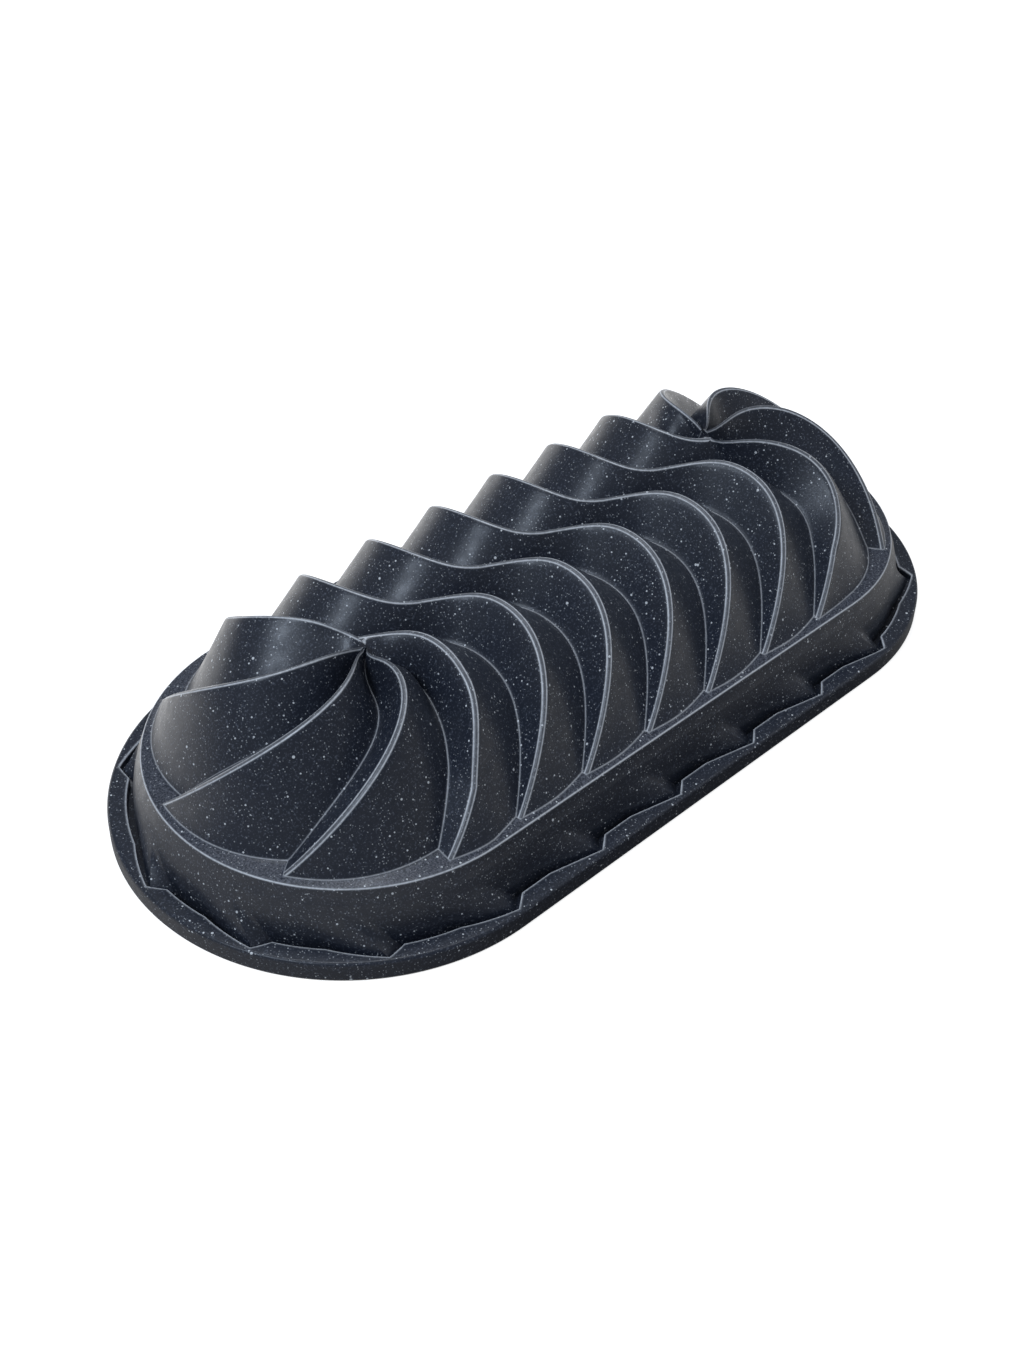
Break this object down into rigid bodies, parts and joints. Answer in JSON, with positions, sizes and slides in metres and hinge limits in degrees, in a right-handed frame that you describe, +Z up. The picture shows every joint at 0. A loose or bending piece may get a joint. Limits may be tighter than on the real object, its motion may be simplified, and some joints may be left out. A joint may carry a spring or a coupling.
{
  "type": "bundt pan",
  "caption": "One-piece cast loaf-shaped bundt pan with swirled flutes, a flat ledge, a straight band and a notched rim flange.",
  "frame": {"origin": "centre of the rim plane, at the base of the upside-down pan", "axes": "+Z up from the rim plane to the fluted crown, +X along the pan's length"},
  "size_m": [0.31, 0.148, 0.0632],
  "materials": {
    "cast_aluminium": "dark non-stick film on the cavity, bare ground metal on the rim seat",
    "granite_coat": "dark blue-black granite-effect coat with fine pale specks, satin"
  },
  "bodies": {
    "root": {"cast_body": "cast_aluminium", "exterior_granite_coating": "granite_coat"}
  },
  "joints": []
}
